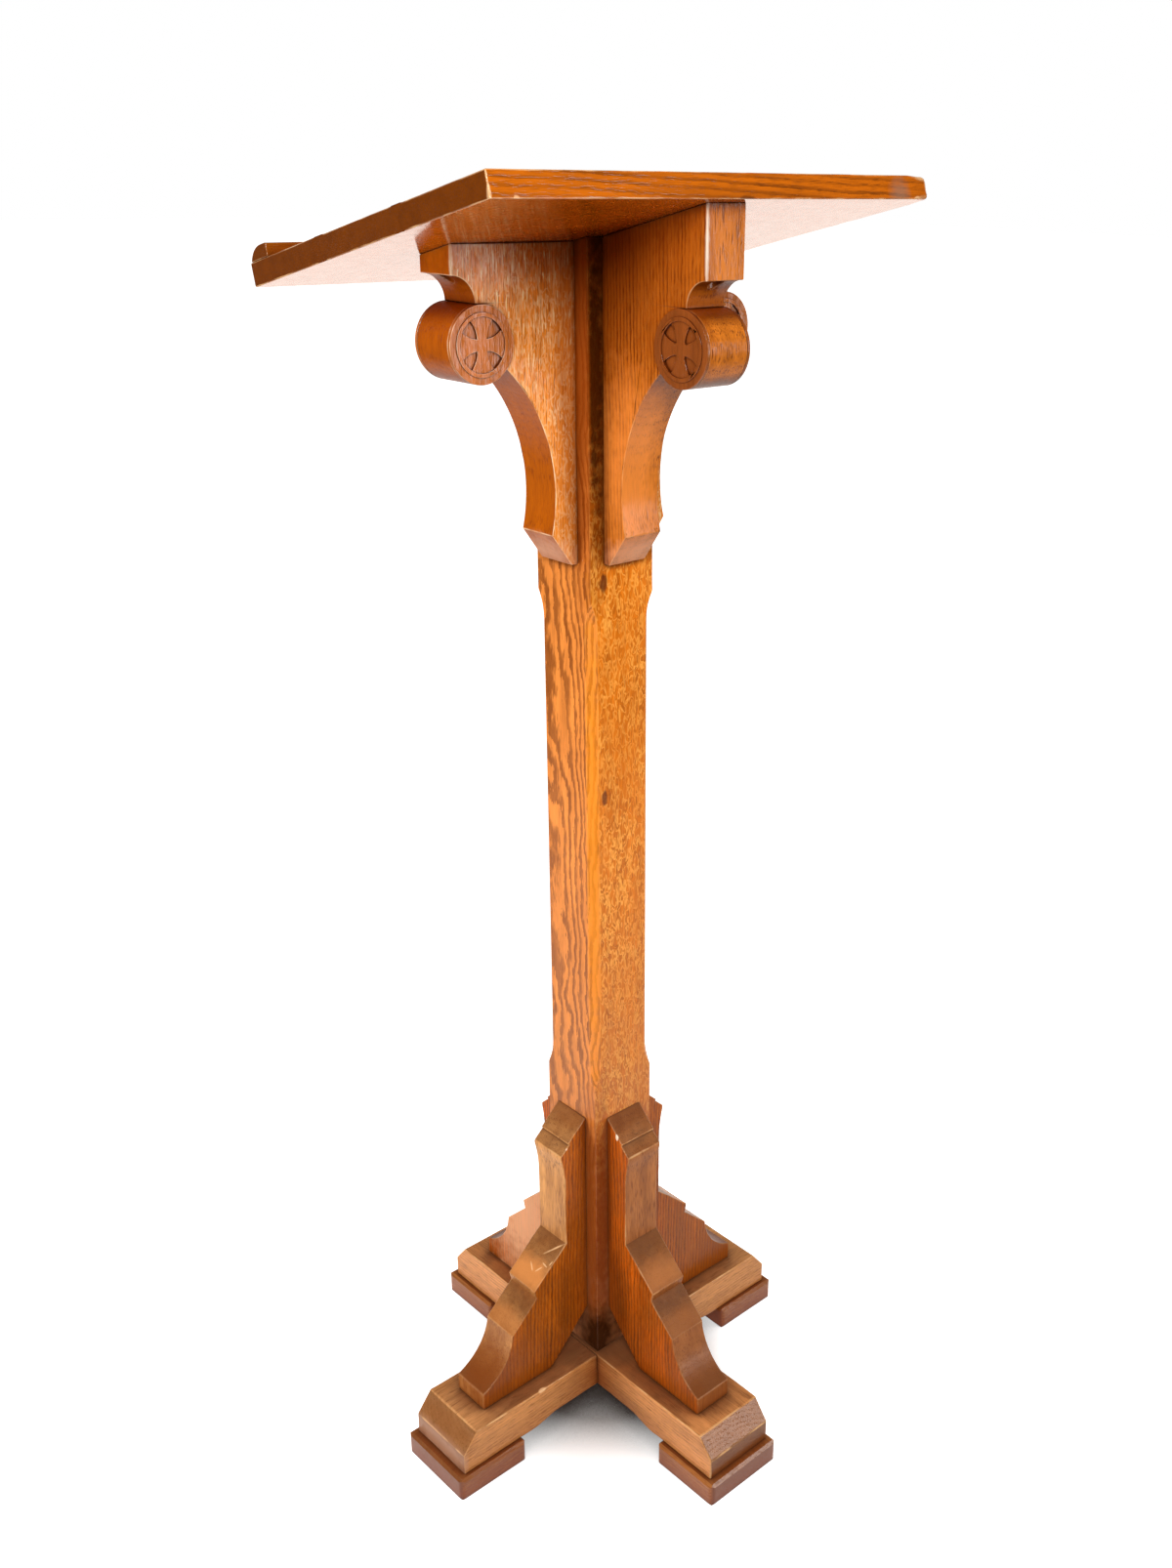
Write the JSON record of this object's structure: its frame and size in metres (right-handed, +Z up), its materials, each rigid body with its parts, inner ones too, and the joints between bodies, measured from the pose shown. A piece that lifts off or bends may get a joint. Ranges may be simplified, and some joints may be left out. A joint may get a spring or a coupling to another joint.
{
  "type": "church lectern",
  "caption": "Oak lectern: a sloping bookboard with a ledge on scrolled brackets round a square post, over stepped buttresses and a cross of halved foot beams.",
  "frame": {"origin": "on the floor, on the post's axis, which is the middle of the foot pads and of the board's width", "axes": "+Z up; +X to the right of a reader who stands at the low edge of the bookboard, on the -Y side, and faces +Y"},
  "size_m": [0.48, 0.464, 1.2958],
  "materials": {
    "frame_oak": "honey-brown varnished oak, worn satin, lighter on its arrises",
    "board_oak": "honey-brown varnished oak boards, glossy on the faces, dark on the end grain",
    "roundel_oak": "varnished oak, turned and carved, the bead rubbed bright",
    "pad_oak": "dark reddish varnished oak, scuffed, with a darker top edge",
    "dowel_beech": "plain unvarnished beech, hidden in the joints",
    "screw_steel": "dull zinc-plated steel"
  },
  "bodies": {
    "root": {"foot_beam_across": "frame_oak", "foot_beam_fore_aft": "frame_oak", "post": "frame_oak", "buttress_right": "frame_oak", "buttress_rear": "frame_oak", "buttress_left": "frame_oak", "buttress_front": "frame_oak", "bracket_right": "frame_oak", "bracket_rear": "frame_oak", "bracket_left": "frame_oak", "bracket_front": "frame_oak", "foot_pad_right": "pad_oak", "foot_pad_rear": "pad_oak", "foot_pad_left": "pad_oak", "foot_pad_front": "pad_oak", "roundel_right_rear_side": "roundel_oak", "roundel_right_front_side": "roundel_oak", "roundel_rear_left_side": "roundel_oak", "roundel_rear_right_side": "roundel_oak", "roundel_left_front_side": "roundel_oak", "roundel_left_rear_side": "roundel_oak", "roundel_front_right_side": "roundel_oak", "roundel_front_left_side": "roundel_oak", "plank_low": "board_oak", "plank_middle": "board_oak", "plank_high": "board_oak", "book_ledge": "board_oak", "board_tongues": "dowel_beech", "ledge_dowels": "dowel_beech", "bracket_dowels": "dowel_beech", "buttress_dowels": "dowel_beech", "board_dowels": "dowel_beech", "bracket_screws": "screw_steel", "buttress_screws": "screw_steel", "pad_screws": "screw_steel"}
  },
  "joints": []
}
